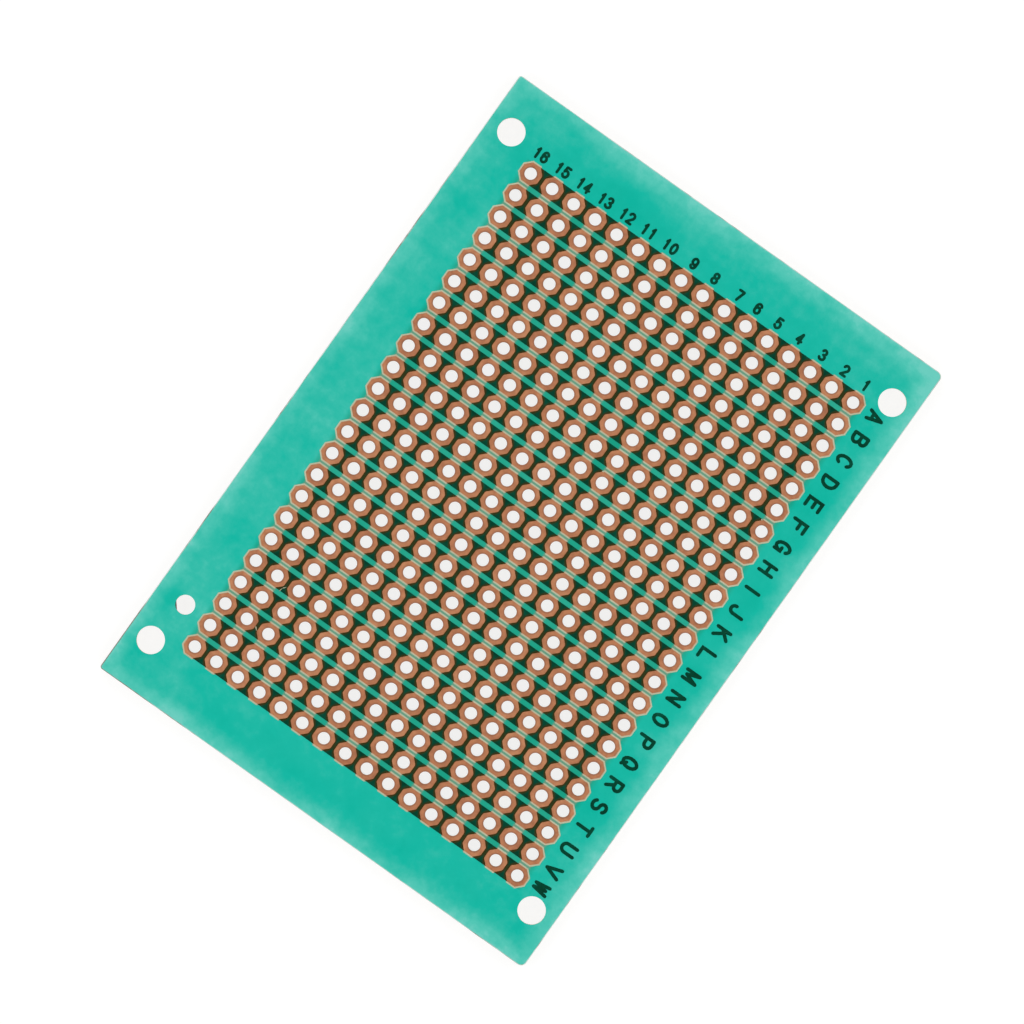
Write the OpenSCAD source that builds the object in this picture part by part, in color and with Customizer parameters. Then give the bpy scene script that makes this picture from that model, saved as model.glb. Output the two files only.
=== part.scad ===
// Strip board for prototypes, 50 x 70 mm: a drilled laminate sheet whose upper side
// carries copper strips under a green solder resist that is open round every lead hole.
// The origin is the centre of the underside. +X points toward column 1, +Y toward row A,
// and +Z out of the copper side. All sizes are in millimetres.

/* [Laminate] */
// Width of the board, along the strips
board_w = 50; // [50:0.5:80]
// Length of the board, across the strips
board_l = 70; // [70:0.5:120]
// Thickness of the laminate sheet
board_t = 1.6; // [0.8:0.1:2.4]
// Radius of the two corners beside the row letters
corner_r_right = 0.6; // [0.1:0.1:1.5]
// Radius of the two corners on the other side
corner_r_left = 0.3; // [0.1:0.1:1.5]

/* [Lead holes] */
// Distance between neighbouring lead holes, both ways
pitch = 2.54; // [2.46:0.01:2.6]
// Number of lead holes along a strip
columns = 16; // [2:1:16]
// Number of strips
rows = 23; // [2:1:23]
// Diameter of a lead hole
lead_hole_d = 1.2; // [0.8:0.05:1.5]
// How far the middle of the grid lies from the middle of the board, along X
grid_x = 0.38; // [-0.5:0.01:0.5]
// How far the middle of the grid lies from the middle of the board, along Y
grid_y = -0.12; // [-0.5:0.01:0.5]

/* [Mounting and tooling holes] */
// Diameter of the four mounting holes
mount_hole_d = 2.75; // [2:0.05:3.2]
// Distance from a mounting hole's centre to the side of the board
mount_inset_x = 2.5; // [2.2:0.1:3]
// Distance from a mounting hole's centre to the end of the board
mount_inset_y = 5; // [2.5:0.1:5]
// Diameter of the tooling hole
tooling_hole_d = 1.92; // [1.5:0.02:2.4]
// Distance from the tooling hole's centre to the left side
tooling_inset_x = 3.25; // [2.5:0.05:3.5]
// Distance from the tooling hole's centre to the lower end
tooling_inset_y = 9.7; // [8.5:0.1:14]
// How far the shred of laminate at the tooling hole's rim reaches into the hole
shred_w = 0.12; // [0.05:0.01:0.2]
// Thickness of that shred, measured down from the copper side
shred_t = 0.3; // [0.1:0.05:0.6]
// Direction of that shred from the hole's centre, in degrees from +X
shred_angle = 219; // [0:1:359]

/* [Copper] */
// Thickness of the copper foil
foil_t = 0.035; // [0.018:0.001:0.07]
// Gap between two neighbouring copper strips
strip_gap = 0.51; // [0.4:0.01:0.7]

/* [Solder resist] */
// Thickness of the resist on top of the copper
resist_t = 0.02; // [0.01:0.005:0.05]
// Width of the resist left between two neighbouring openings
opening_gap = 0.2; // [0.1:0.01:0.36]

/* [Column numbers] */
// Height of a number
number_h = 1.2; // [0.9:0.05:1.3]
// Width of one digit
digit_w = 0.72; // [0.5:0.02:0.8]
// Distance between the middles of the two digits of a number
digit_advance = 0.86; // [0.82:0.02:1]
// Width of the line that draws a number
number_line = 0.21; // [0.15:0.01:0.24]
// Space between the top row's openings and the numbers
number_gap = 0.29; // [0.15:0.01:0.4]

/* [Row letters] */
// Height of a letter
letter_h = 1.75; // [1.2:0.05:1.9]
// Width of a letter
letter_w = 1.17; // [0.9:0.01:1.4]
// Width of the line that draws a letter
letter_line = 0.28; // [0.18:0.01:0.3]
// Space between the last column's openings and the letters
letter_gap = 0.54; // [0.3:0.01:0.6]
// How much lower each letter sits than the row pitch alone would put it
letter_creep = 0.009; // [0:0.001:0.02]
// How far the last letter is moved up, clear of the mounting hole
last_letter_shift = 0.53; // [0:0.01:0.6]

/* [Hidden] */
$fn = 48;
// What a cutting shape reaches past the faces that it cuts
past = 1;
// Largest turn between two points of a drawn curve, in degrees
curve_step = 24;
// Number of edges that round off the end of a drawn line
cap_edges = 3;

grid_w = (columns - 1) * pitch;
grid_l = (rows - 1) * pitch;
// Width of a copper strip, and across the flats of its end pads
strip_w = pitch - strip_gap;
// Width across the flats of the eight-sided opening round each lead hole
opening_w = pitch - opening_gap;
coat_t = foil_t + resist_t;
letters_used = "abcdefghijklmnopqrstuvw";

// How far each number sits to the right of its column, from column 1 on: the artwork was laid by hand
number_shift = [
    0.05, 0.15, 0.1, -0.1, -0.1, 0, 0.35, 0.05,
    0.1, -0.2, -0.2, -0.2, -0.2, -0.2, -0.2, -0.2,
];

function strip_name(row) = str("strip_", letters_used[row]);

// Places on the board: column 1 is on the right and row 0 is the top one
function column_x(column) = grid_x + grid_w / 2 - (column - 1) * pitch;
function row_y(row) = grid_y + grid_l / 2 - row * pitch;

// Drawn lines. A stroke is a list of points in a box one unit wide and one unit high.
function arc(x, y, rx, ry, from, to) =
    let (steps = ceil(abs(to - from) / curve_step))
    [for (i = [0:steps])
        let (a = from + (to - from) * i / steps)
        [x + rx * cos(a), y + ry * sin(a)]];
function ellipse(x, y, rx, ry) = arc(x, y, rx, ry, 0, 360);

// The digits 0 to 9, each a list of strokes
digits = [
    [ellipse(0.5, 0.5, 0.5, 0.5)],
    [[[0.6, 0], [0.6, 1]], [[0.6, 0.97], [0.32, 0.76]]],
    [concat(arc(0.5, 0.71, 0.5, 0.29, 165, -30), [[0, 0]]), [[0, 0], [1, 0]]],
    [arc(0.45, 0.76, 0.43, 0.24, 160, -90), arc(0.45, 0.26, 0.53, 0.26, 85, -160)],
    [[[0.68, 1], [0, 0.28]], [[0, 0.28], [1, 0.28]], [[0.68, 0.97], [0.68, 0]]],
    [[[0.92, 1], [0.16, 1]], [[0.16, 0.98], [0.06, 0.5]], arc(0.47, 0.33, 0.53, 0.33, 140, -160)],
    [ellipse(0.5, 0.31, 0.5, 0.31),
        concat([[0, 0.33], [0, 0.66]], arc(0.5, 0.66, 0.5, 0.34, 170, 25))],
    [[[0, 1], [1, 1]], [[1, 0.98], [0.42, 0]]],
    [ellipse(0.5, 0.76, 0.42, 0.24), ellipse(0.5, 0.26, 0.5, 0.26)],
    [ellipse(0.5, 0.69, 0.5, 0.31),
        concat([[1, 0.67], [1, 0.34]], arc(0.5, 0.34, 0.5, 0.34, -10, -155))],
];

// The letters A to W, each a list of strokes
letters = [
    [[[0, 0], [0.5, 1]], [[0.5, 1], [1, 0]], [[0.16, 0.3], [0.84, 0.3]]],
    [[[0, 0], [0, 1]], concat([[0, 1]], arc(0.5, 0.765, 0.43, 0.235, 90, -90), [[0, 0.53]]),
        concat(arc(0.5, 0.265, 0.5, 0.265, 80, -90), [[0, 0]])],
    [arc(0.5, 0.5, 0.5, 0.5, 38, 322)],
    [[[0, 0], [0, 1]], concat([[0, 1]], arc(0.36, 0.5, 0.64, 0.5, 90, -90), [[0, 0]])],
    [[[1, 1], [0, 1], [0, 0], [1, 0]], [[0, 0.53], [0.88, 0.53]]],
    [[[1, 1], [0, 1], [0, 0]], [[0, 0.53], [0.85, 0.53]]],
    [arc(0.5, 0.5, 0.5, 0.5, 40, 335), [[0.6, 0.45], [1, 0.45], [1, 0]]],
    [[[0, 0], [0, 1]], [[1, 0], [1, 1]], [[0, 0.53], [1, 0.53]]],
    [[[0.5, 0], [0.5, 1]]],
    [concat([[0.86, 1]], arc(0.43, 0.28, 0.43, 0.28, 0, -180))],
    [[[0, 0], [0, 1]], [[0.92, 1], [0, 0.38]], [[0.3, 0.62], [1, 0]]],
    [[[0, 1], [0, 0], [1, 0]]],
    [[[0, 0], [0, 1]], [[0, 1], [0.5, 0.15]], [[0.5, 0.15], [1, 1]], [[1, 1], [1, 0]]],
    [[[0, 0], [0, 1]], [[0, 1], [1, 0]], [[1, 0], [1, 1]]],
    [ellipse(0.5, 0.5, 0.5, 0.5)],
    [[[0, 0], [0, 1]], concat([[0, 1]], arc(0.55, 0.74, 0.45, 0.26, 90, -90), [[0, 0.48]])],
    [ellipse(0.5, 0.5, 0.5, 0.5), [[0.6, 0.28], [1, 0]]],
    [[[0, 0], [0, 1]], concat([[0, 1]], arc(0.55, 0.75, 0.45, 0.25, 90, -90), [[0, 0.5]]),
        [[0.5, 0.5], [1, 0]]],
    [concat(arc(0.5, 0.76, 0.45, 0.24, 25, 270), arc(0.5, 0.26, 0.5, 0.26, 70, -155))],
    [[[0, 1], [1, 1]], [[0.5, 1], [0.5, 0]]],
    [concat([[0, 1]], arc(0.5, 0.3, 0.5, 0.3, 180, 360), [[1, 1]])],
    [[[-0.06, 1], [0.5, 0]], [[0.5, 0], [1.06, 1]]],
    [[[0, 1], [0.24, 0]], [[0.24, 0], [0.5, 0.85]], [[0.5, 0.85], [0.76, 0]], [[0.76, 0], [1, 1]]],
];

function unit(v) = v / norm(v);
function left_of(v) = [-v.y, v.x];
// Sideways step at a point of a line, lengthened at a bend so that both edges stay parallel to it
function sideways(before, after) =
    let (side = left_of(unit(before)) + left_of(unit(after)))
    2 * side / (side * side);
// The edge beside a line that ends at both ends
function edge(points, half) =
    [for (i = [0:len(points) - 1])
        let (before = points[i] - points[max(i - 1, 0)])
        let (after = points[min(i + 1, len(points) - 1)] - points[i])
        points[i] + half * sideways(
            norm(before) > 0 ? before : after,
            norm(after) > 0 ? after : before)];
// The edge beside a line whose last point is its first one
function loop_edge(points, half) =
    [for (i = [0:len(points) - 2])
        let (before = points[i] - points[i > 0 ? i - 1 : len(points) - 2])
        points[i] + half * sideways(before, points[i + 1] - points[i])];
// The round end past the point where a line that runs along v stops
function cap(point, v, half) =
    let (a = atan2(v.y, v.x))
    [for (i = [1:cap_edges - 1])
        let (turn = a - 90 + 180 * i / cap_edges)
        point + half * [cos(turn), sin(turn)]];
function reversed(list) = [for (i = [len(list) - 1:-1:0]) list[i]];

// One stroke as a flat shape, drawn with a line of the given width
module stroke(points, line) {
    half = line / 2;
    last = len(points) - 1;
    if (norm(points[last] - points[0]) < 0.001) {
        difference() {
            polygon(loop_edge(points, -half));
            polygon(loop_edge(points, half));
        }
    } else {
        polygon(concat(
            edge(points, -half), cap(points[last], points[last] - points[last - 1], half),
            reversed(edge(points, half)), cap(points[0], points[0] - points[1], half)));
    }
}

// A digit or letter that fills a box of width w and height h about the origin
module glyph(strokes, w, h, line) {
    for (points = strokes) {
        stroke([for (p = points) [(p.x - 0.5) * (w - line), (p.y - 0.5) * (h - line)]], line);
    }
}

module number_shapes() {
    number_y = row_y(0) + opening_w / 2 + number_gap + number_h / 2;
    for (column = [1:columns]) {
        x = column_x(column) + number_shift[column - 1];
        translate([x, number_y]) {
            if (column < 10) {
                glyph(digits[column], digit_w, number_h, number_line);
            } else {
                for (place = [-0.5, 0.5]) {
                    digit = place < 0 ? floor(column / 10) : column % 10;
                    translate([place * digit_advance, 0])
                        glyph(digits[digit], digit_w, number_h, number_line);
                }
            }
        }
    }
}

module letter_shapes() {
    letter_x = column_x(1) + opening_w / 2 + letter_gap + letter_h / 2;
    for (row = [0:rows - 1]) {
        shift = row == rows - 1 ? last_letter_shift : 0;
        translate([letter_x, row_y(row) - row * letter_creep + shift])
            rotate(-90) glyph(letters[row], letter_w, letter_h, letter_line);
    }
}

// A regular octagon with flats facing X and Y
module octagon(across_flats) {
    rotate(22.5) circle(d = across_flats / cos(22.5), $fn = 8);
}

// A strip's outline about its middle: straight sides, and half an octagon round each end hole
module strip_shape() {
    half = strip_w / 2;
    flat = half * tan(22.5);
    run = grid_w / 2;
    polygon([
        [run + half, flat], [run + flat, half], [-run - flat, half], [-run - half, flat],
        [-run - half, -flat], [-run - flat, -half], [run + flat, -half], [run + half, -flat],
    ]);
}

module at_each_row() {
    for (row = [0:rows - 1]) translate([grid_x, row_y(row)]) children();
}

module at_each_column_of_row() {
    for (column = [1:columns]) translate([column_x(column) - grid_x, 0]) children();
}

// What rounding takes off a corner that points to +X and +Y
module corner_waste(r) {
    difference() {
        translate([-r, -r]) square(r + past);
        translate([-r, -r]) circle(r = r);
    }
}

module board_outline() {
    difference() {
        square([board_w, board_l], center = true);
        for (end = [0, 1]) {
            mirror([0, end]) translate([board_w / 2, board_l / 2])
                corner_waste(corner_r_right);
            mirror([0, end]) mirror([1, 0]) translate([board_w / 2, board_l / 2])
                corner_waste(corner_r_left);
        }
    }
}

module hole(d) {
    translate([0, 0, -past]) cylinder(d = d, h = board_t + coat_t + 2 * past);
}

module mount_holes() {
    for (x = [-1, 1], y = [-1, 1]) {
        translate([x * (board_w / 2 - mount_inset_x), y * (board_l / 2 - mount_inset_y), 0])
            hole(mount_hole_d);
    }
}

module at_tooling_hole() {
    translate([tooling_inset_x - board_w / 2, tooling_inset_y - board_l / 2, 0]) children();
}

// The tooling hole in the laminate, short of the shred that its punch left
module tooling_hole() {
    at_tooling_hole() difference() {
        hole(tooling_hole_d);
        rotate(shred_angle)
            translate([tooling_hole_d / 2 - shred_w, -tooling_hole_d / 2, board_t - shred_t])
            cube([tooling_hole_d, tooling_hole_d, shred_t]);
    }
}

module lead_holes_of_row() {
    at_each_column_of_row() hole(lead_hole_d);
}

module laminate() {
    color("#e9e1c6") difference() {
        linear_extrude(board_t) board_outline();
        at_each_row() lead_holes_of_row();
        mount_holes();
        tooling_hole();
    }
}

module copper_strip(row) {
    color("#b47656") difference() {
        translate([grid_x, row_y(row), board_t]) linear_extrude(foil_t) strip_shape();
        translate([grid_x, row_y(row), 0]) lead_holes_of_row();
    }
}

module column_numbers() {
    color("#9c6848") difference() {
        translate([0, 0, board_t]) linear_extrude(foil_t) number_shapes();
        mount_holes();
    }
}

module row_letters() {
    color("#9c6848") difference() {
        translate([0, 0, board_t]) linear_extrude(foil_t) letter_shapes();
        mount_holes();
    }
}

// One coat over the whole upper side. It fills the spaces between the copper and lies level on top.
module solder_resist() {
    color("#36bfac") difference() {
        translate([0, 0, board_t]) linear_extrude(coat_t) board_outline();
        translate([0, 0, board_t - past]) linear_extrude(past + foil_t) {
            at_each_row() strip_shape();
            number_shapes();
            letter_shapes();
        }
        translate([0, 0, board_t - past]) linear_extrude(coat_t + 2 * past)
            at_each_row() at_each_column_of_row() octagon(opening_w);
        mount_holes();
        at_tooling_hole() hole(tooling_hole_d);
    }
}

laminate();
for (row = [0:rows - 1]) {
    copper_strip(row);
}
column_numbers();
row_letters();
solder_resist();
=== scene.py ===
# %% [markdown]
# A prototype board
#
# The object is a small bare circuit board for trying things out: a drilled sheet of laminate,
# copper strips on its upper side, and a printed green coat over them, the solder resist. The
# resist is open round every hole, so that a lead can be soldered there.
# The CAD model already has the sheet, the strips and the index marks at their true sizes, and
# its meshes stay as they are. It holds the resist as one level coat. This script gives every
# part its finish, and builds the resist again as the thin, uneven skin that it really is.

# %% The model and its box
import math

import bmesh
import bpy
from mathutils import Matrix, Vector, noise


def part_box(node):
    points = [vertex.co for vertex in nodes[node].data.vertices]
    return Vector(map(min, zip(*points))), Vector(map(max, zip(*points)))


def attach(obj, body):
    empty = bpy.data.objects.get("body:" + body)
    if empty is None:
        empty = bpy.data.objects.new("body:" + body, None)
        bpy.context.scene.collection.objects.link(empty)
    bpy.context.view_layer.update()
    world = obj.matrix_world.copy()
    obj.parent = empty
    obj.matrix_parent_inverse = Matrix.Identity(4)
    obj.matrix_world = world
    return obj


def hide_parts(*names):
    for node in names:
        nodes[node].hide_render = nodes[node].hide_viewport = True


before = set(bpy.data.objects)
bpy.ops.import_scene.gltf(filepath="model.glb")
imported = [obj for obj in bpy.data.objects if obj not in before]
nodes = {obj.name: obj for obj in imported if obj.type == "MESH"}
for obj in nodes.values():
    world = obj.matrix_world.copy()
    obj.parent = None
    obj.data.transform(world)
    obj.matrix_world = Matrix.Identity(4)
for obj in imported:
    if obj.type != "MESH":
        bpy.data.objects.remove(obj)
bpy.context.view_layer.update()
scene = bpy.context.scene
print("CAD nodes:", len(nodes))

# %% [markdown]
# Every measure here is in millimetres, as on the real board, and is turned to metres only
# where a mesh is finished. The places could be typed in again from the CAD source, but the two
# might drift apart, so they are read from the boxes of the CAD nodes.

# %% Measures read from the CAD model
MM = 0.001


def box_mm(node):
    """A node's lowest and highest corner, in millimetres."""
    low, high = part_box(node)
    return low / MM, high / MM


strips = sorted(name for name in nodes if name.startswith("strip_"))
board_low, board_high = box_mm("laminate")
board_top = board_high.z
first_low, first_high = box_mm(strips[0])
strip_w, copper_top = first_high.y - first_low.y, first_high.z
coat_top = box_mm("solder_resist")[1].z
board_size = board_high - board_low
print(f"board {board_size.x:.1f} x {board_size.y:.1f} x {board_size.z:.2f} mm")
print(f"{len(strips)} strips {strip_w:.2f} mm wide, copper {copper_top - board_top:.3f} mm thick")

# %% The grid of holes
COLUMNS = 16
strip_ys = [(box_mm(name)[0].y + box_mm(name)[1].y) / 2 for name in strips]
pitch = (strip_ys[0] - strip_ys[-1]) / (len(strips) - 1)
grid_x = (first_low.x + first_high.x) / 2
column_xs = [grid_x + (i - (COLUMNS - 1) / 2) * pitch for i in range(COLUMNS)]
print(f"{COLUMNS} x {len(strips)} holes, {pitch:.3f} mm apart")

# %% [markdown]
# The resist is a flat skin a few hundredths of a millimetre thick, with an outline, many
# openings and a softly rounded lip. It could be cut out of a box with Booleans, but those are
# slow and fragile with hundreds of openings. A 2D curve does it at once: closed splines in one
# curve fill the area between them, Extrude gives the thickness, Bevel rounds the lip, and
# Offset moves the whole outline. It is drawn in millimetres, because the fill loses points
# that lie closer together than a few hundredths of a unit.

# %% A sheet from its outlines
WELD_PARTS = 20


def sheet(name, outlines, low, high, lip, grow=0.0):
    """A flat piece between two heights, filled between its outlines, with rounded edges."""
    curve = bpy.data.curves.new(name, "CURVE")
    curve.dimensions = "2D"
    curve.fill_mode = "BOTH"
    curve.extrude = (high - low) / 2 - lip
    curve.bevel_depth = lip
    curve.bevel_resolution = 1
    curve.offset = grow - lip
    for outline in outlines:
        spline = curve.splines.new("POLY")
        spline.points.add(len(outline) - 1)
        for point, (x, y) in zip(spline.points, outline):
            point.co = (x, y, 0, 1)
        spline.use_cyclic_u = True
    drawing = bpy.data.objects.new(name, curve)
    scene.collection.objects.link(drawing)
    graph = bpy.context.evaluated_depsgraph_get()
    mesh = bpy.data.meshes.new_from_object(drawing.evaluated_get(graph), depsgraph=graph)
    bpy.data.objects.remove(drawing)
    mesh.name = name
    work = bmesh.new()
    work.from_mesh(mesh)
    # Points closer together than a twentieth of the lip are one point.
    bmesh.ops.remove_doubles(work, verts=work.verts, dist=lip / WELD_PARTS)
    bmesh.ops.recalc_face_normals(work, faces=work.faces)
    work.to_mesh(mesh)
    work.free()
    mesh.transform(Matrix.Scale(MM, 4) @ Matrix.Translation((0, 0, (low + high) / 2)))
    piece = bpy.data.objects.new(name, mesh)
    scene.collection.objects.link(piece)
    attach(piece, "root")
    print(f"{name}: {len(mesh.vertices)} points, {len(mesh.polygons)} faces, "
          f"{piece.dimensions.z / MM:.3f} mm high")
    return piece


# %% [markdown]
# The outlines of the sheet, of its holes and of the index marks are in the CAD meshes: they
# are the edges where a face that looks up meets one that doesn't. Reading them there keeps
# every new piece exactly over the copper that it covers.

# %% Outlines read from a CAD node
SAME_POINT = 0.0001 * MM
# A direction counts as upward, or as straight to one side, from this share of its length on.
STRAIGHT = 0.9


def top_outlines(node):
    """The closed outlines of a node's upper faces, in millimetres."""
    work = bmesh.new()
    work.from_mesh(nodes[node].data)
    bmesh.ops.remove_doubles(work, verts=work.verts, dist=SAME_POINT)
    after = {}
    for face in work.faces:
        if face.normal.z < STRAIGHT:
            continue
        for corner in face.loops:
            if not any(f is not face and f.normal.z > STRAIGHT for f in corner.edge.link_faces):
                after[corner.vert] = corner.link_loop_next.vert
    found = []
    while after:
        start, point = after.popitem()
        outline = [start.co / MM]
        while point is not start:
            outline.append(point.co / MM)
            point = after.pop(point)
        found.append([(p.x, p.y) for p in outline])
    work.free()
    return sorted(found, key=len, reverse=True)


def span(outline):
    """How far an outline reaches along X."""
    xs = [x for x, y in outline]
    return max(xs) - min(xs)


coat_outlines = sorted(top_outlines("solder_resist"), key=span, reverse=True)
board_outline, *mount_holes = coat_outlines[:5]
tooling_hole = coat_outlines[-1]
print(f"mounting holes {span(mount_holes[0]):.2f} mm, tooling hole {span(tooling_hole):.2f} mm")

# %% [markdown]
# Where the board was cut from a larger sheet, the resist has flaked back from the edge by
# about a tenth of a millimetre, and a little more along the left side. That shows as a fine
# pale line. A straight inset would look like a drawn border, so the outline is pulled in by an
# amount that wanders slowly along the edge and has small chips in it.

# %% The flaked outline
FLAKE_STEP, LEAST, MOST, MOST_LEFT = 0.5, 0.05, 0.11, 0.16
# The wander and the chips: their width in millimetres, their share, and a height in the noise
# of their own, so that the two have nothing in common.
WANDER_MM, WANDER_SHARE, WANDER_SLICE = 2.9, 0.7, 4
CHIP_MM, CHIP_SHARE, CHIP_SLICE = 0.6, 0.3, 9


def smooth_noise(point, width, height):
    """A smooth random value from -1 to 1 that changes over about the given width."""
    return noise.noise(Vector((point.x / width, point.y / width, height)))


def flaked(outline):
    """The outline, which runs anticlockwise, pulled in unevenly and more on the left side."""
    made = []
    for i, start in enumerate(outline):
        a, b = Vector(start), Vector(outline[(i + 1) % len(outline)])
        inward = Vector((a.y - b.y, b.x - a.x)).normalized()
        reach = MOST_LEFT if inward.x > STRAIGHT else MOST
        count = max(1, int((b - a).length / FLAKE_STEP))
        for k in range(count):
            p = a.lerp(b, k / count)
            wander = 0.5 + 0.5 * smooth_noise(p, WANDER_MM, WANDER_SLICE)
            chip = max(0, smooth_noise(p, CHIP_MM, CHIP_SLICE))
            share = WANDER_SHARE * wander + CHIP_SHARE * chip
            made.append(tuple(p + inward * (LEAST + (reach - LEAST) * share)))
    return made


coat_edge = flaked(board_outline)
narrower = board_size.x - span(coat_edge)
print(f"coat edge: {len(coat_edge)} points, {narrower:.2f} mm narrower than the board")

# %% [markdown]
# Round each hole the resist leaves an octagon free, a little larger than the copper there, so
# that a fine ring of bare laminate shows. Along a strip the openings run together, because
# the resist over the copper lies higher and is a piece of its own. Each row is therefore one
# long opening with sixteen octagons in it, and it follows from the pitch and two gaps.

# %% The openings and the resist on bare laminate
WEB, FILM, LIP = 0.2, 0.03, 0.01
opening_w = pitch - WEB
film_top = board_top + FILM


def octagon_corner(width):
    """Where an octagon's flat side ends, for a width across its flats."""
    return width / 2 * math.tan(math.radians(22.5))


def row_window(y):
    """The opening along one row: the strip, and an octagon of laminate round each hole."""
    half, corner, edge = opening_w / 2, octagon_corner(opening_w), strip_w / 2
    waist = half + corner - edge
    upper = []
    for x in column_xs:
        upper += [(x - waist, edge), (x - corner, half), (x + corner, half), (x + waist, edge)]
    upper[0] = (column_xs[0] - half, corner)
    upper[-1] = (column_xs[-1] + half, corner)
    lower = [(x, -dy) for x, dy in reversed(upper)]
    return [(x, y + dy) for x, dy in upper + lower]


resist = sheet(
    "resist_on_laminate",
    [coat_edge] + [row_window(y) for y in strip_ys] + mount_holes + [tooling_hole],
    board_top, film_top, LIP)

# %% [markdown]
# Over the copper the coat reaches further in toward each hole than it does on the laminate.
# What is left of it on a strip is one narrow waist between every two holes. A print has no
# sharp corners, so the corners of the octagons are eased by a tenth of a millimetre.

# %% The resist over the strips
COVERED_W, WAIST_SIDE, EASE = 2.14, 0.015, 0.11
# The film over copper starts inside the film on laminate and ends under the top of the nicks.
SINK, UNDER_NICKS = 0.005, 0.004
dark_top = coat_top - UNDER_NICKS


def eased(before, corner, after):
    """Three points that round a corner a little."""
    before, corner, after = Vector(before), Vector(corner), Vector(after)
    start = corner + (before - corner).normalized() * EASE
    end = corner + (after - corner).normalized() * EASE
    return [tuple(start), tuple((start + 2 * corner + end) / 4), tuple(end)]


def waist_outline(x, y):
    """The resist on a strip between the hole at x and the next one."""
    half, corner = COVERED_W / 2, octagon_corner(COVERED_W)
    edge = strip_w / 2 + WAIST_SIDE
    far = half + corner - edge
    side = [(far, edge), (half, corner), (half, -corner), (far, -edge)]
    near = [side[0]] + eased(*side[:3]) + eased(*side[1:]) + [side[3]]
    left = [(x + dx, y + dy) for dx, dy in near]
    right = [(x + pitch - dx, y - dy) for dx, dy in near]
    return left + right


waists = sheet(
    "resist_on_strips", [waist_outline(x, y) for y in strip_ys for x in column_xs[:-1]],
    film_top - SINK, dark_top, LIP)

# %% [markdown]
# The numbers and letters are etched in the copper too and lie under the same coat, so they
# are raised dark lines. They could be painted on, but then they would be flat. Here their
# outlines come from the copper beneath, made wider by about the coat's own thickness, because
# it climbs over the copper's shoulders.

# %% The resist over the index marks
CLIMB_NUMBERS, CLIMB_LETTERS = 0.031, 0.034
number_film = sheet(
    "resist_on_numbers", top_outlines("column_numbers"),
    film_top - SINK, dark_top, LIP, CLIMB_NUMBERS)
letter_film = sheet(
    "resist_on_letters", top_outlines("row_letters"),
    film_top - SINK, dark_top, LIP, CLIMB_LETTERS)
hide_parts("solder_resist")

# %% [markdown]
# A board that has been handled has a few nicks, where the resist is chipped away to the pale
# laminate or a fleck of dust has stuck. A nick is long and pointed at one end, because
# something scratched along it, so each is a slim splinter between two places.

# %% Nicks in the resist
NICKS = [
    # Where it starts, where it ends, and its width.
    ((18.72, 13.60), (18.86, 13.48), 0.15),
    ((15.80, 22.10), (15.98, 22.24), 0.09),
    ((3.52, 8.44), (3.74, 8.50), 0.14),
    ((-15.05, -23.02), (-14.72, -23.36), 0.10),
    ((-15.14, -19.02), (-15.06, -18.62), 0.07),
    ((-15.06, -18.62), (-14.80, -18.30), 0.06),
]
# How far along it a nick is widest, and what is left of its width on each side of its end.
WIDEST, END_RIGHT, END_LEFT = 0.4, 0.4, 0.3
NICK_LIP = 0.003


def splinter(start, end, width):
    """A slim pointed outline from start to end."""
    a, b = Vector(start), Vector(end)
    along = (b - a).normalized()
    side = Vector((-along.y, along.x)) * width / 2
    middle = a.lerp(b, WIDEST)
    return [tuple(a), tuple(middle - side), tuple(b - side * END_RIGHT),
            tuple(b + side * END_LEFT), tuple(middle + side)]


nicks = sheet("nicks", [splinter(*nick) for nick in NICKS], copper_top, coat_top, NICK_LIP)

# %% [markdown]
# Materials
#
# Colours are written as sRGB hex values, as they are read from a picture. Blender's shaders
# want linear light, so one function turns them. Another adds a node with its settings and
# links, which keeps a material short enough to read as a recipe. Every pattern is laid out in
# millimetres of the board itself, so it stays on the board from any side.

# %% Colours and nodes
def linear(code):
    """An sRGB hex colour as linear numbers."""
    parts = [int(code[i:i + 2], 16) / 255 for i in (1, 3, 5)]
    return [c / 12.92 if c <= 0.04045 else ((c + 0.055) / 1.055) ** 2.4 for c in parts] + [1.0]


def add(material, kind, settings=None, inputs=None):
    """Adds one node. An input is given a number, a hex colour or the output that feeds it."""
    tree = material.node_tree
    made = tree.nodes.new("ShaderNode" + kind)
    for name, value in (settings or {}).items():
        if name == "stops":
            ramp = made.color_ramp
            while len(ramp.elements) < len(value):
                ramp.elements.new(1.0)
            for element, (position, code) in zip(ramp.elements, value):
                element.position = position
                element.color = linear(code)
        else:
            setattr(made, name, value)
    for name, value in (inputs or {}).items():
        socket = made.inputs[name]
        if isinstance(value, bpy.types.NodeSocket):
            tree.links.new(value, socket)
        else:
            socket.default_value = linear(value) if isinstance(value, str) else value
    return made


print("linear light of #808080:", round(linear("#808080")[0], 3))

# %% Starting a material and putting it on a piece
# Settings that many nodes share: a noise that lies flat on the board, and an eased change.
FLAT = {"noise_dimensions": "2D"}
SMOOTH = {"interpolation_type": "SMOOTHSTEP"}


def blank(name):
    """A new material without nodes, and its coordinates in millimetres."""
    material = bpy.data.materials.new(name)
    material.use_nodes = True
    material.node_tree.nodes.clear()
    place = add(material, "TexCoord").outputs["Object"]
    scaled = add(material, "VectorMath", {"operation": "SCALE"}, {0: place, "Scale": 1 / MM})
    return material, scaled.outputs[0]


def dress(piece, material):
    """Gives a whole piece one material."""
    slots = piece.data.materials
    if slots:
        for i in range(len(slots)):
            slots[i] = material
    else:
        slots.append(material)
    print(f"{piece.name}: {material.name}, {len(material.node_tree.nodes)} nodes")


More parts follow.
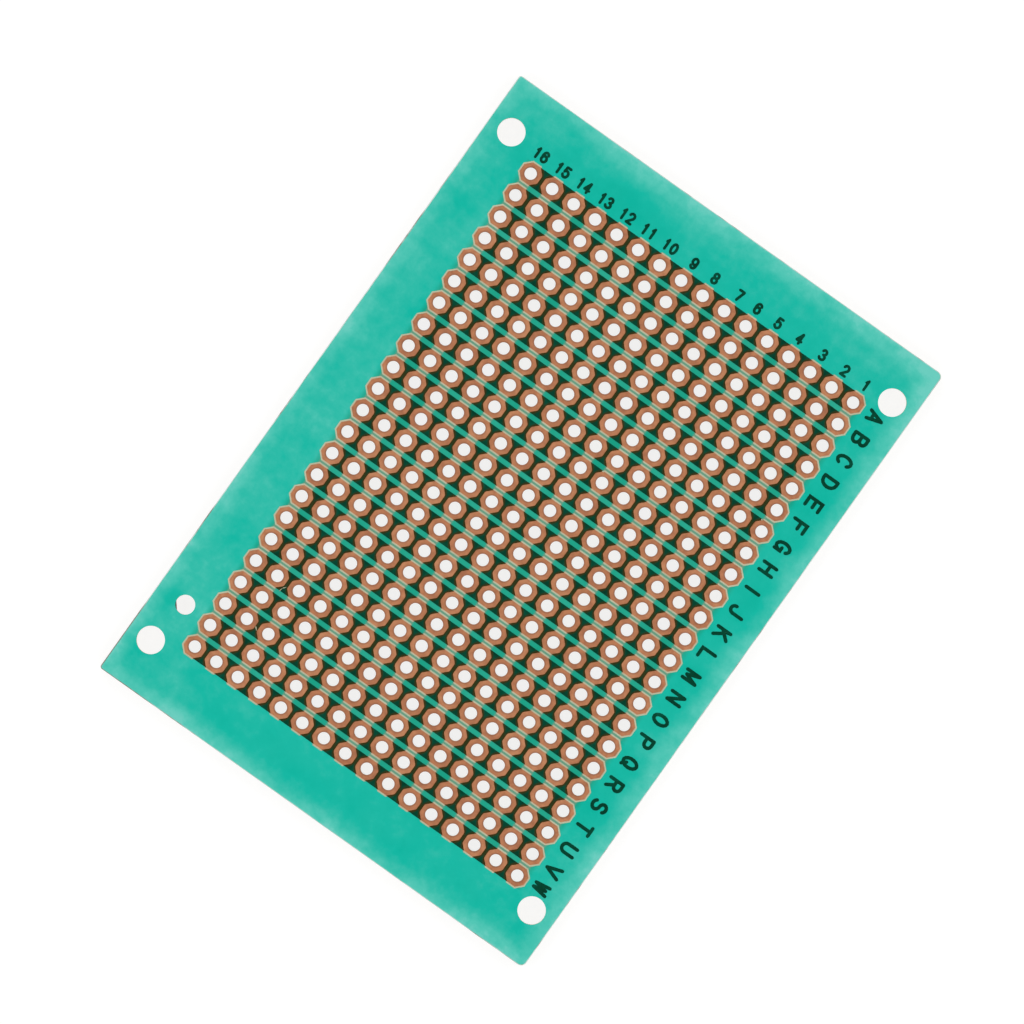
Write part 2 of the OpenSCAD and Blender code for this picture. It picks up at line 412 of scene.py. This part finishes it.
# %% [markdown]
# Epoxy solder resist on laminate: its clouds
#
# Solder resist is an epoxy ink, printed through a screen and cured. Where it lies on the pale
# sheet, the sheet shines through it and makes it turquoise. The ink isn't equally thick: it
# has clouds of 7 mm, a mottle of 1.2 mm, and faint streaks along the way that the squeegee
# went. One noise can't be both wide and streaky, so three are added up. They give the eye a
# printed coat and not a plastic film.

# %% Clouds, mottle and streaks
CLOUD, MOTTLE, STREAK_LONG, STREAK_WIDE = 7.0, 1.2, 17.0, 1.7
MOTTLE_SHARE, STREAK_SHARE = 0.7, 0.35
# The three together run from the low to the high sum, and become a tone either side of 0.
SUM_LOW, SUM_HIGH, TONE = 0.69, 1.37, 0.4
resist_ink, mm = blank("epoxy solder resist on laminate")
clouds = add(resist_ink, "TexNoise", FLAT,
             {"Vector": mm, "Scale": 1 / CLOUD, "Detail": 4.0, "Roughness": 0.6})
mottle = add(resist_ink, "TexNoise", FLAT,
             {"Vector": mm, "Scale": 1 / MOTTLE, "Detail": 3.0, "Roughness": 0.65})
stretched = add(resist_ink, "VectorMath", {"operation": "MULTIPLY"},
                {0: mm, 1: (1 / STREAK_LONG, 1 / STREAK_WIDE, 1.0)})
streaks = add(resist_ink, "TexNoise", FLAT,
              {"Vector": stretched.outputs[0], "Scale": 1.0, "Detail": 2.0})
uneven = clouds.outputs[0]
for pattern, share in ((streaks, STREAK_SHARE), (mottle, MOTTLE_SHARE)):
    uneven = add(resist_ink, "Math", {"operation": "MULTIPLY_ADD"},
                 {0: pattern.outputs[0], 1: share, 2: uneven}).outputs[0]
tone = add(resist_ink, "MapRange", {"label": "uneven thickness"},
           {"Value": uneven, "From Min": SUM_LOW, "From Max": SUM_HIGH,
            "To Min": -TONE, "To Max": TONE})
print(f"clouds {CLOUD} mm, mottle {MOTTLE} mm, streaks {STREAK_LONG} x {STREAK_WIDE} mm")

# %% [markdown]
# Epoxy solder resist on laminate: paler and deeper places
#
# The coat also changes from place to place for reasons of its own. It thins out and gets
# paler over the last millimetres before a cut edge, and it gathers and gets deeper beside the
# raised marks and at the tooling hole. Each such place could have its own colour, but then
# they wouldn't blend. So every place adds to one number, the paleness, and one ramp turns that
# into ink.

# %% Distances on the board
def edge_distance(material, mm):
    """The place folded onto one quarter of the board, and how far the nearest edge is."""
    folded = add(material, "VectorMath", {"operation": "ABSOLUTE"}, {0: mm}).outputs[0]
    room = add(material, "VectorMath", {"operation": "SUBTRACT"}, {0: board_high, 1: folded})
    parts = add(material, "SeparateXYZ", None, {0: room.outputs[0]})
    nearest = add(material, "Math", {"operation": "MINIMUM"},
                  {0: parts.outputs["X"], 1: parts.outputs["Y"]})
    return folded, nearest.outputs[0]


place = add(resist_ink, "SeparateXYZ", None, {0: mm})
x_mm, y_mm = place.outputs["X"], place.outputs["Y"]
folded, from_edge = edge_distance(resist_ink, mm)
from_corner = add(resist_ink, "VectorMath", {"operation": "DISTANCE"},
                  {0: folded, 1: board_high}).outputs["Value"]
letters_low, letters_high = box_mm("row_letters")
numbers_low, numbers_high = box_mm("column_numbers")
tool_x = sum(x for x, y in tooling_hole) / len(tooling_hole)
tool_y = sum(y for x, y in tooling_hole) / len(tooling_hole)
print(f"tooling hole at {tool_x:.2f}, {tool_y:.2f} mm")

# %% Paler and deeper places
TINTS = [
    # What it is, along which measure, where it starts and where it is full in mm, and how pale.
    ("corners", from_corner, 13.0, 2.0, 0.2),
    ("very edge", from_edge, 0.45, 0.05, 0.12),
    ("beside the letters", x_mm, letters_low.x - 1.2, letters_low.x, -0.08),
    ("past the letters", x_mm, letters_high.x, letters_high.x + 1.2, 0.1),
    ("beside the numbers", y_mm, numbers_low.y - 2.5, numbers_low.y, -0.12),
    ("past the numbers", y_mm, numbers_high.y, numbers_high.y + 2.0, 0.28),
]
SPOTS = [
    # Its place, its reach and how pale it is at its middle: below zero the coat is thicker.
    (tool_x - 1.2, tool_y + 0.15, 1.5, -0.9), (-20.0, 31.5, 9.0, -0.45), (-20.5, -32.5, 7.0, -0.3),
    (22.0, -30.5, 5.0, 0.3), (-22.0, 20.5, 3.5, -0.2), (22.6, 6.3, 3.5, -0.2),
    (-10.5, 31.0, 3.0, -0.2), (5.0, 31.5, 8.0, 0.15), (-7.0, -32.0, 4.5, -0.16),
    (5.0, -32.0, 4.5, -0.16), (16.0, -31.8, 3.5, -0.16), (22.5, 26.0, 5.0, 0.15),
    (-24.0, 24.5, 4.0, 0.2), (-24.0, 8.0, 4.0, 0.14), (-24.0, -27.5, 4.0, 0.14),
]
for x, y, reach, level in SPOTS:
    from_spot = add(resist_ink, "VectorMath", {"operation": "DISTANCE"},
                    {0: mm, 1: (x, y, film_top)})
    TINTS.append(("spot", from_spot.outputs["Value"], reach, 0.0, level))
print(len(TINTS), "places make the coat paler or deeper")

# %% All of them in one number
# Where the coat thins at an edge and left of the grid, and how pale it gets there.
EDGE_FADE, EDGE_LEVEL = 2.9, 0.87
LEFT_INSIDE, LEFT_OUTSIDE, LEFT_LEVEL = 8, 1, 0.36
fade = add(resist_ink, "MapRange", {**SMOOTH, "label": "toward the edge"},
           {"Value": from_edge, "From Min": EDGE_FADE, "From Max": 0.0, "To Max": EDGE_LEVEL})
thin_left = add(resist_ink, "MapRange", {**SMOOTH, "label": "left of the grid"},
                {"Value": x_mm, "From Min": column_xs[0] + LEFT_INSIDE,
                 "From Max": column_xs[0] - LEFT_OUTSIDE, "To Max": LEFT_LEVEL})
thin = add(resist_ink, "Math", {"operation": "MAXIMUM"},
           {0: fade.outputs[0], 1: thin_left.outputs[0]})
paleness = add(resist_ink, "Math", {"operation": "ADD"},
               {0: tone.outputs[0], 1: thin.outputs[0]}).outputs[0]
for label, measure, start, full, level in TINTS:
    step = add(resist_ink, "MapRange", {**SMOOTH, "label": label},
               {"Value": measure, "From Min": start, "From Max": full, "To Max": level})
    paleness = add(resist_ink, "Math", {"operation": "ADD"},
                   {0: paleness, 1: step.outputs[0]}).outputs[0]
print(f"the coat thins out over the last {EDGE_FADE} mm before an edge")

# %% The open area's ink
PALEST = 1.2
on_ramp = add(resist_ink, "MapRange", None,
              {"Value": paleness, "From Min": -TONE, "From Max": PALEST})
OPEN_INKS = [(0.0, "#00B7A1"), (0.28, "#0ABBA6"), (0.53, "#2FC0AC"),
             (0.84, "#52CAB8"), (1.0, "#6AD0C1")]
open_ink = add(resist_ink, "ValToRGB", {"stops": OPEN_INKS}, {"Fac": on_ramp.outputs[0]})
print("inks from", OPEN_INKS[0][1], "to", OPEN_INKS[-1][1])

# %% [markdown]
# Epoxy solder resist on laminate: between the strips
#
# Between two strips the coat is painted a deeper green, as shade that falls between the
# strips. Where two octagons nearly touch, only a thread of it is left, and the bare laminate on
# both sides makes that look grey.
# Both belong to the grid of holes. They could be masked with pictures, but the grid is
# regular, so each point finds its nearest hole by wrapping its place to one pitch.

# %% A place counted from the nearest hole
first_hole = (column_xs[0], strip_ys[-1], 0)
half_pitch = pitch / 2
# A cell is far taller than the board, so that a place never wraps in height.
CELL_TALL = 9


def hole_grid(material, mm):
    """The place counted from the first hole, and from the nearest one, in millimetres."""
    counted = add(material, "VectorMath", {"operation": "SUBTRACT"}, {0: mm, 1: first_hole})
    wrapped = add(material, "VectorMath", {"operation": "WRAP"},
                  {0: counted.outputs[0], 1: (half_pitch, half_pitch, CELL_TALL),
                   2: (-half_pitch, -half_pitch, -CELL_TALL)})
    flat = add(material, "VectorMath", {"operation": "MULTIPLY"},
               {0: wrapped.outputs[0], 1: (1, 1, 0)})
    return counted.outputs[0], flat.outputs[0]


print(f"one cell is {pitch:.2f} mm wide")

# %% Where the grid's painted shade lies
# How far outside the grid it starts, and how far inside its two kinds of sides it is full.
GRID_START, GRID_FULL_X, GRID_FULL_Y = 0.1, 0.6, 0.1
grid_centre = (grid_x, (strip_ys[0] + strip_ys[-1]) / 2, 0)
grid_half_x = column_xs[-1] - grid_x + opening_w / 2
grid_half_y = (strip_ys[0] - strip_ys[-1]) / 2 + strip_w / 2
from_centre = add(resist_ink, "VectorMath", {"operation": "SUBTRACT"}, {0: mm, 1: grid_centre})
grid_folded = add(resist_ink, "VectorMath", {"operation": "ABSOLUTE"},
                  {0: from_centre.outputs[0]})
grid_parts = add(resist_ink, "SeparateXYZ", None, {0: grid_folded.outputs[0]})
inside_x = add(resist_ink, "MapRange", SMOOTH,
               {"Value": grid_parts.outputs["X"], "From Min": grid_half_x + GRID_START,
                "From Max": grid_half_x - GRID_FULL_X})
inside_y = add(resist_ink, "MapRange", SMOOTH,
               {"Value": grid_parts.outputs["Y"], "From Min": grid_half_y + GRID_START,
                "From Max": grid_half_y - GRID_FULL_Y})
inside = add(resist_ink, "Math", {"operation": "MULTIPLY"},
             {0: inside_x.outputs[0], 1: inside_y.outputs[0]})
print(f"the grid's own ink reaches {2 * grid_half_x:.1f} x {2 * grid_half_y:.1f} mm")

# %% Painted shade between the strips, and ink between two octagons
WEB_START, WEB_FULL, WEB_SHARE = 0.72, 0.46, 0.8
# Painted shade: between the strips the coat is painted a deeper green.
gap_shade_ink = add(resist_ink, "ValToRGB", {"stops": [(0.25, "#10A084"), (0.75, "#22AC92")]},
              {"Fac": clouds.outputs[0]})
_, near_hole = hole_grid(resist_ink, mm)
beside = add(resist_ink, "VectorMath", {"operation": "ABSOLUTE"}, {0: near_hole})
beside_parts = add(resist_ink, "SeparateXYZ", None, {0: beside.outputs[0]})
thread = add(resist_ink, "MapRange", {**SMOOTH, "label": "between octagons"},
             {"Value": beside_parts.outputs["X"], "From Min": WEB_START, "From Max": WEB_FULL,
              "To Max": WEB_SHARE})
inner_ink = add(resist_ink, "Mix", {"data_type": "RGBA"},
                {0: thread.outputs[0], 6: gap_shade_ink.outputs[0], 7: "#729C81"})
ink = add(resist_ink, "Mix", {"data_type": "RGBA"},
          {0: inside.outputs[0], 6: open_ink.outputs[0], 7: inner_ink.outputs[2]})
print(f"between two octagons a thread {2 * octagon_corner(opening_w):.2f} mm long is left")

# %% [markdown]
# Epoxy solder resist on laminate: its gloss
#
# Cured epoxy has an IOR of about 1.5 and a satin gloss. Printing leaves a ripple less than a
# millimetre wide, which softens what the coat mirrors. It is too low to model, so it is a
# bump of two hundredths of a millimetre, and the roughness follows the clouds a little. A
# noise seldom leaves the middle of its range, so only that is turned into roughness.

# %% Gloss of the resist
RIPPLE, RIPPLE_HIGH = 0.6, 0.02
NOISE_LOW, NOISE_HIGH = 0.3, 0.7
ripple = add(resist_ink, "TexNoise", FLAT,
             {"Vector": mm, "Scale": 1 / RIPPLE, "Detail": 2.0})
ripple_bump = add(resist_ink, "Bump", None,
                  {"Strength": 0.25, "Distance": RIPPLE_HIGH * MM, "Height": ripple.outputs[0]})
satin = add(resist_ink, "MapRange", None,
            {"Value": clouds.outputs[0], "From Min": NOISE_LOW, "From Max": NOISE_HIGH,
             "To Min": 0.28, "To Max": 0.38})
shader = add(resist_ink, "BsdfPrincipled", None,
             {"Base Color": ink.outputs[2], "Roughness": satin.outputs[0], "IOR": 1.5,
              "Normal": ripple_bump.outputs[0]})
add(resist_ink, "OutputMaterial", None, {"Surface": shader.outputs[0]})
dress(resist, resist_ink)

# %% [markdown]
# Epoxy solder resist over copper
#
# Over the strips the same ink has dull copper behind it instead of the pale sheet. Copper
# sends back almost no green or blue, and the ink lets little else through, so the two together
# look bottle green, nearly black. Toward a bare ring the coat thins out, and there the copper
# makes it browner. A transparent coat over real copper would show this by itself, but only
# with many light bounces, so the colour of the two together is painted. It lies smoother on
# the metal than on the sheet, so it is a little glossier. What it mirrors is turned down a
# little by its specular level, because a haze of the bright room would make the green grey.

# %% Resist over copper
DEPTH, DARK_RIPPLE = 1.1, 0.45
THIN_START, THIN_FULL, THIN_SHARE = 1.37, 1.17, 0.9


def dark_resist(name, thins_at_holes):
    """Resist over copper, with the copper's brown showing where the coat thins round a hole."""
    material, mm = blank(name)
    depth = add(material, "TexNoise", FLAT,
                {"Vector": mm, "Scale": 1 / DEPTH, "Detail": 4.0, "Roughness": 0.6})
    greens = [(0.3, "#003826"), (0.55, "#00432F"), (0.8, "#02503C")]
    green = add(material, "ValToRGB", {"stops": greens}, {"Fac": depth.outputs[0]})
    colour = green.outputs[0]
    if thins_at_holes:
        _, near_hole = hole_grid(material, mm)
        radius = add(material, "VectorMath", {"operation": "LENGTH"}, {0: near_hole})
        thinned = add(material, "MapRange", SMOOTH,
                      {"Value": radius.outputs["Value"], "From Min": THIN_START,
                       "From Max": THIN_FULL, "To Max": THIN_SHARE})
        colour = add(material, "Mix", {"data_type": "RGBA"},
                     {0: thinned.outputs[0], 6: colour, 7: "#3A310B"}).outputs[2]
    ripple = add(material, "TexNoise", FLAT,
                 {"Vector": mm, "Scale": 1 / DARK_RIPPLE, "Detail": 2.0})
    ripple_bump = add(material, "Bump", None,
                      {"Strength": 0.2, "Distance": RIPPLE_HIGH * MM, "Height": ripple.outputs[0]})
    shader = add(material, "BsdfPrincipled", None,
                 {"Base Color": colour, "Roughness": 0.25, "IOR": 1.5, "Specular IOR Level": 0.35,
                  "Normal": ripple_bump.outputs[0]})
    add(material, "OutputMaterial", None, {"Surface": shader.outputs[0]})
    return material


dress(waists, dark_resist("epoxy solder resist over strips", True))
over_marks = dark_resist("epoxy solder resist over marks", False)
dress(number_film, over_marks)
dress(letter_film, over_marks)

# %% [markdown]
# Scrubbed and tarnished copper foil: its colour
#
# The bare rings are rolled copper foil, scrubbed before the resist went on and since then
# dulled by air, so they are a matte orange brown and not a mirror. Tarnish comes in blotches
# under a millimetre wide, and each ring differs slightly from the next, which a random value
# for each cell of the hole grid gives. Round a hole the drill has pressed the foil down into a
# slight dip, and the shade in that dip is painted as a darker line, which gives each hole a
# clear rim.

# %% Copper colour
BLOTCH, RING_SHARE = 0.7, 0.25
# The painted shade round the hole, counted outward from the hole's wall, and how strong it is.
HOLE_R, RIM_SHADE_START, RIM_SHADE_FULL, RIM_SHADE_SHARE = 0.6, 0.22, 0.02, 0.8
copper, mm = blank("scrubbed and tarnished copper foil")
counted, near_hole = hole_grid(copper, mm)
radius = add(copper, "VectorMath", {"operation": "LENGTH"}, {0: near_hole})
cell_corner = add(copper, "VectorMath", {"operation": "ADD"},
                  {0: counted, 1: (half_pitch, half_pitch, 0)})
cell = add(copper, "VectorMath", {"operation": "SNAP"},
           {0: cell_corner.outputs[0], 1: (pitch, pitch, CELL_TALL)})
chance = add(copper, "TexWhiteNoise", FLAT, {"Vector": cell.outputs[0]})
tarnish = add(copper, "TexNoise", FLAT,
              {"Vector": mm, "Scale": 1 / BLOTCH, "Detail": 5.0, "Roughness": 0.65})
dullness = add(copper, "Math", {"operation": "MULTIPLY_ADD"},
               {0: chance.outputs["Value"], 1: RING_SHARE, 2: tarnish.outputs[0]})
foil = add(copper, "ValToRGB", {"stops": [(0.35, "#B87754"), (0.62, "#C6835B"), (0.9, "#D09168")]},
           {"Fac": dullness.outputs[0]})
# Painted shade: the copper just round each hole is painted darker.
painted_rim_shade = add(copper, "MapRange", SMOOTH,
              {"Value": radius.outputs["Value"], "From Min": HOLE_R + RIM_SHADE_START,
               "From Max": HOLE_R + RIM_SHADE_FULL, "To Max": RIM_SHADE_SHARE})
foil_colour = add(copper, "Mix", {"data_type": "RGBA"},
                  {0: painted_rim_shade.outputs[0], 6: foil.outputs[0], 7: "#A26C50"})
print(f"tarnish in blotches of {BLOTCH} mm")

# %% [markdown]
# Scrubbed and tarnished copper foil: its surface
#
# Clean copper has Metallic 1. A tarnish is an oxide and no metal, and it covers a part of the
# surface, so Metallic lies between 0 and 1 here, which gives the eye a warm dull ring and not
# a bright one. Scrubbing leaves lines two hundredths of a millimetre apart. That is finer
# than a pixel, so they are drawn five times as coarse.

# %% Copper surface
SCRUB, SCRUB_HIGH = 0.11, 0.01
scrub = add(copper, "TexNoise", FLAT,
            {"Vector": mm, "Scale": 1 / SCRUB, "Detail": 3.0})
scrub_bump = add(copper, "Bump", None,
                 {"Strength": 0.35, "Distance": SCRUB_HIGH * MM, "Height": scrub.outputs[0]})
dull = add(copper, "MapRange", None,
           {"Value": tarnish.outputs[0], "From Min": NOISE_LOW, "From Max": NOISE_HIGH,
            "To Min": 0.48, "To Max": 0.62})
shader = add(copper, "BsdfPrincipled", None,
             {"Base Color": foil_colour.outputs[2], "Metallic": 0.6, "Roughness": dull.outputs[0],
              "Normal": scrub_bump.outputs[0]})
add(copper, "OutputMaterial", None, {"Surface": shader.outputs[0]})
for name in strips + ["column_numbers", "row_letters"]:
    dress(nodes[name], copper)

# %% [markdown]
# Paper and glass epoxy laminate: faces and cut sides
#
# The sheet is layers of paper and glass cloth in epoxy, pressed and cured, then cut and
# drilled. Its faces are cream and slightly stained. The cut sides and the walls of the holes
# show the layers as fine lines, about nine to the millimetre, and are a little browner. The
# surface normal tells a face from a cut side, so one material does for both.

# %% Laminate colours
STAIN, LAYER, LAYER_LONG = 3.3, 0.11, 8.0
# Where less than half of the normal points up or down, the surface is a cut side.
SIDE_LIMIT = 0.5
laminate, mm = blank("paper and glass epoxy laminate")
stain = add(laminate, "TexNoise", None, {"Vector": mm, "Scale": 1 / STAIN, "Detail": 4.0})
cream = add(laminate, "ValToRGB", {"stops": [(0.3, "#BCBA9B"), (0.7, "#C6C6A9")]},
            {"Fac": stain.outputs[0]})
facing = add(laminate, "SeparateXYZ", None, {0: add(laminate, "NewGeometry").outputs["Normal"]})
upright = add(laminate, "Math", {"operation": "ABSOLUTE"}, {0: facing.outputs["Z"]})
on_side = add(laminate, "Math", {"operation": "LESS_THAN"}, {0: upright.outputs[0], 1: SIDE_LIMIT})
layered = add(laminate, "VectorMath", {"operation": "MULTIPLY"},
              {0: mm, 1: (1 / LAYER_LONG, 1 / LAYER_LONG, 1 / LAYER)})
layers = add(laminate, "TexNoise", None,
             {"Vector": layered.outputs[0], "Scale": 1.0, "Detail": 3.0, "Roughness": 0.6})
cut = add(laminate, "ValToRGB", {"stops": [(0.3, "#C2B28C"), (0.5, "#D0C29E"), (0.7, "#DACEAF")]},
          {"Fac": layers.outputs[0]})
sheet_colour = add(laminate, "Mix", {"data_type": "RGBA"},
                   {0: on_side.outputs[0], 6: cream.outputs[0], 7: cut.outputs[0]})
print(f"layers of {LAYER} mm on the cut sides")

# %% [markdown]
# Paper and glass epoxy laminate: the shaded cut edge and the dark shred
#
# Right at the cut edge, beyond the resist, a pale line of laminate shows. Over it a painted
# shade makes it grey, and browner near the lower left corner, as where a cut side lies in
# shadow. That painted shade gives the board's outline its fine dark line. At the tooling hole
# a shred of laminate is left from the punch, and it is painted dark brown. The shred's shape
# is in the CAD model. The painted shade and the dark brown are only colour, so they need no
# pieces of their own: the distance to the edge and to the hole says where they lie.

# %% Painted shade on the cut edge
RIM, RIM_DEEP, EDGE_SHADE_SIZE = 0.16, 0.06, 2.9
# How far from the lower left corner the painted shade is browner, and by how much.
BROWN_SHADE_START, BROWN_SHADE_FULL, BROWN_SHADE_SHARE = 12.0, 2.0, 0.3
height = add(laminate, "SeparateXYZ", None, {0: mm}).outputs["Z"]
_, from_edge = edge_distance(laminate, mm)
at_rim = add(laminate, "Math", {"operation": "LESS_THAN"}, {0: from_edge, 1: RIM})
at_top = add(laminate, "Math", {"operation": "GREATER_THAN"}, {0: height, 1: board_top - RIM_DEEP})
# Painted shade: a grey line on the last tenths of a millimetre at the cut edge, browner near the
# lower left corner.
shade_line = add(laminate, "Math", {"operation": "MULTIPLY"},
            {0: at_rim.outputs[0], 1: at_top.outputs[0]})
edge_shade = add(laminate, "TexNoise", None, {"Vector": mm, "Scale": 1 / EDGE_SHADE_SIZE, "Detail": 4.0})
from_lower_left = add(laminate, "VectorMath", {"operation": "DISTANCE"},
                      {0: mm, 1: (board_low.x, board_low.y, board_top)})
brown_shade = add(laminate, "MapRange", SMOOTH,
              {"Value": from_lower_left.outputs["Value"], "From Min": BROWN_SHADE_START,
               "From Max": BROWN_SHADE_FULL, "To Max": BROWN_SHADE_SHARE})
edge_shade_level = add(laminate, "Math", {"operation": "ADD"},
                {0: edge_shade.outputs[0], 1: brown_shade.outputs[0]})
pale_edge_and_shade = add(laminate, "ValToRGB", {"stops": [(0.56, "#D3E0D9"), (0.72, "#8A8577")]},
                  {"Fac": edge_shade_level.outputs[0]})
with_edge_shade = add(laminate, "Mix", {"data_type": "RGBA"},
             {0: shade_line.outputs[0], 6: sheet_colour.outputs[2], 7: pale_edge_and_shade.outputs[0]})
print(f"dust on the last {RIM} mm")

# %% The dark shred at the tooling hole
SHRED_AT, SHRED_R, SHRED_EDGE = (tool_x - 0.70, tool_y - 0.57, board_top), 0.48, 0.1
from_shred = add(laminate, "VectorMath", {"operation": "DISTANCE"}, {0: mm, 1: SHRED_AT})
# The shred at the tooling hole is painted dark brown.
darkened = add(laminate, "MapRange", None,
            {"Value": from_shred.outputs["Value"], "From Min": SHRED_R + SHRED_EDGE,
             "From Max": SHRED_R})
board_colour = add(laminate, "Mix", {"data_type": "RGBA"},
                   {0: darkened.outputs[0], 6: with_edge_shade.outputs[2], 7: "#4A3222"})
print(f"a burnt spot {2 * SHRED_R:.2f} mm wide")

# %% [markdown]
# Paper and glass epoxy laminate: its surface
#
# Resin that was pressed against a release film is matte, with a roughness of about 0.6, and
# epoxy's IOR of 1.5, which gives the eye a dry face beside the glossy coat. The glass cloth
# under it shows as a faint weave of threads 0.6 mm apart. Two crossed waves, multiplied, give
# that weave. A wave texture counts 20 radians to a unit of its Scale. On the cut sides the
# layers make the relief instead.

# %% Laminate surface
THREAD, WEAVE_HIGH, WAVE_RADIANS = 0.6, 0.02, 20
thread_scale = 2 * math.pi / WAVE_RADIANS / THREAD
crossed = [
    add(laminate, "TexWave", {"bands_direction": way},
        {"Vector": mm, "Scale": thread_scale, "Distortion": 0.6,
         "Detail": 2.0, "Detail Scale": 2.0})
    for way in ("X", "Y")]
weave = add(laminate, "Math", {"operation": "MULTIPLY"},
            {0: crossed[0].outputs[1], 1: crossed[1].outputs[1]})
relief = add(laminate, "Mix", {"data_type": "FLOAT"},
             {0: on_side.outputs[0], 2: weave.outputs[0], 3: layers.outputs[0]})
weave_bump = add(laminate, "Bump", None,
                 {"Strength": 0.3, "Distance": WEAVE_HIGH * MM, "Height": relief.outputs[0]})
shader = add(laminate, "BsdfPrincipled", None,
             {"Base Color": board_colour.outputs[2], "Roughness": 0.6, "IOR": 1.5,
              "Normal": weave_bump.outputs[0]})
add(laminate, "OutputMaterial", None, {"Surface": shader.outputs[0]})
dress(nodes["laminate"], laminate)
dress(nicks, laminate)

# %% [markdown]
# A white table
#
# The board lies on a white table. More light would make it white but would also wash out the
# board, so the white comes from the table's own colour: what the camera and a reflection see
# of it glows a little, and the rest of the light falls on an ordinary pale paint. A share
# of paint is kept in what the camera sees, so the board's soft shadow stays.

# %% Floor
FLOOR_HALF, FLOOR_Z, SPECKLE = 1.6, -0.05 * MM, 40.0
floor_mesh = bpy.data.meshes.new("floor")
floor_mesh.from_pydata(
    [(-FLOOR_HALF, -FLOOR_HALF, 0), (FLOOR_HALF, -FLOOR_HALF, 0),
     (FLOOR_HALF, FLOOR_HALF, 0), (-FLOOR_HALF, FLOOR_HALF, 0)], [], [(0, 1, 2, 3)])
floor = bpy.data.objects.new("floor", floor_mesh)
floor.location.z = FLOOR_Z
scene.collection.objects.link(floor)
table, mm = blank("painted white table")
path = add(table, "LightPath")
seen = path.outputs["Is Camera Ray"]
for kind in ("Is Glossy Ray", "Is Transmission Ray"):
    seen = add(table, "Math", {"operation": "MAXIMUM"},
               {0: seen, 1: path.outputs[kind]}).outputs[0]
speckle = add(table, "TexNoise", None, {"Vector": mm, "Scale": 1 / SPECKLE, "Detail": 2.0})
paint = add(table, "BsdfDiffuse", None, {"Color": "#E6E6E6"})
shaded_tone = add(table, "ValToRGB", {"stops": [(0.3, "#797979"), (0.7, "#7D7D7D")]},
                  {"Fac": speckle.outputs[0]})
shaded = add(table, "BsdfDiffuse", None, {"Color": shaded_tone.outputs[0]})
glow = add(table, "Emission", None, {"Color": "#FFFFFF", "Strength": 0.84})
lit = add(table, "AddShader", None, {0: shaded.outputs[0], 1: glow.outputs[0]})
shown = add(table, "MixShader", None, {0: seen, 1: paint.outputs[0], 2: lit.outputs[0]})
add(table, "OutputMaterial", None, {"Surface": shown.outputs[0]})
dress(floor, table)

# %% [markdown]
# Soft light
#
# Plain studio light is a large soft source on every side. One big dome would do, but a shiny
# coat mirrors what is above it, and a bright dome there would lay a haze over the dark green.
# So the room is half bright near the horizon and dim overhead, and four large lamps at
# 45 degrees bring most of the light. Their power follows from how bright a white card on the
# table should be: about 1, so that a colour renders as it is written.

# %% World
ROOM_LOW, ROOM_TOP = 0.5, 0.02
# How high in the sky the dimming starts and ends: 0 is the horizon and 1 is straight up.
DIM_START, DIM_END = 0.55, 0.85
world = bpy.data.worlds.new("studio")
scene.world = world
world.use_nodes = True
world.node_tree.nodes.clear()
upward = add(world, "SeparateXYZ", None, {0: add(world, "TexCoord").outputs["Generated"]})
level = add(world, "MapRange", SMOOTH,
            {"Value": upward.outputs["Z"], "From Min": DIM_START, "From Max": DIM_END,
             "To Min": ROOM_LOW, "To Max": ROOM_TOP})
room_light = add(world, "Background", None, {"Color": "#FFFFFF", "Strength": level.outputs[0]})
backdrop = add(world, "Background", None, {"Color": "#FFFFFF", "Strength": 1.0})
world_path = add(world, "LightPath")
chosen = add(world, "MixShader", None,
             {0: world_path.outputs["Is Camera Ray"],
              1: room_light.outputs[0], 2: backdrop.outputs[0]})
add(world, "OutputWorld", None, {"Surface": chosen.outputs[0]})
print(f"room light from {ROOM_LOW} at the horizon to {ROOM_TOP} overhead")

# %% Lamps
LAMPS, LAMP_FAR, LAMP_WIDE, LAMP_RISE = 4, 1.0, 0.7, math.radians(45)
# How bright a white card on the table is, and what the room's light gives to it.
WHITE_CARD, ROOM_SHARE = 1.1, 0.25
from_lamps = (WHITE_CARD - ROOM_SHARE) * math.pi ** 2
lamp_power = from_lamps * LAMP_FAR ** 2 / (LAMPS * math.sin(LAMP_RISE))
for i in range(LAMPS):
    around = math.radians(45 + 360 * i / LAMPS)
    light = bpy.data.lights.new(f"softbox_{i}", "AREA")
    light.shape = "SQUARE"
    light.size = LAMP_WIDE
    light.energy = lamp_power
    lamp = bpy.data.objects.new(light.name, light)
    lamp.location = LAMP_FAR * Vector(
        (math.cos(LAMP_RISE) * math.cos(around),
         math.cos(LAMP_RISE) * math.sin(around), math.sin(LAMP_RISE)))
    lamp.rotation_euler = (-lamp.location).to_track_quat("-Z", "Y").to_euler()
    lamp.visible_camera = False
    scene.collection.objects.link(lamp)
print(f"{LAMPS} lamps of {lamp_power:.2f} W")

# %% [markdown]
# Camera
#
# The board is seen from straight above and from far away: no hole shows its walls. It lies
# turned in the picture, so the camera rolls by that angle. A long lens keeps the view nearly
# parallel, and the camera's height follows from how many pixels a millimetre gets.

# %% Camera
PICTURE, PIXELS_PER_MM = 1024, 10.382
TURN, AIM = 35.38, (-1.264, 0.202)
LENS, SENSOR, FARTHEST = 800, 36, 100
camera_data = bpy.data.cameras.new("camera")
camera_data.lens = LENS
camera_data.sensor_width = SENSOR
camera_data.clip_end = FARTHEST
field = PICTURE / PIXELS_PER_MM
distance = field * LENS / SENSOR
camera = bpy.data.objects.new("camera", camera_data)
camera.location = (AIM[0] * MM, AIM[1] * MM, (coat_top + distance) * MM)
camera.rotation_euler = (0, 0, math.radians(TURN))
scene.collection.objects.link(camera)
scene.camera = camera
scene.view_settings.view_transform = "Standard"
print(f"camera {distance * MM:.2f} m up, {field:.1f} mm wide view")
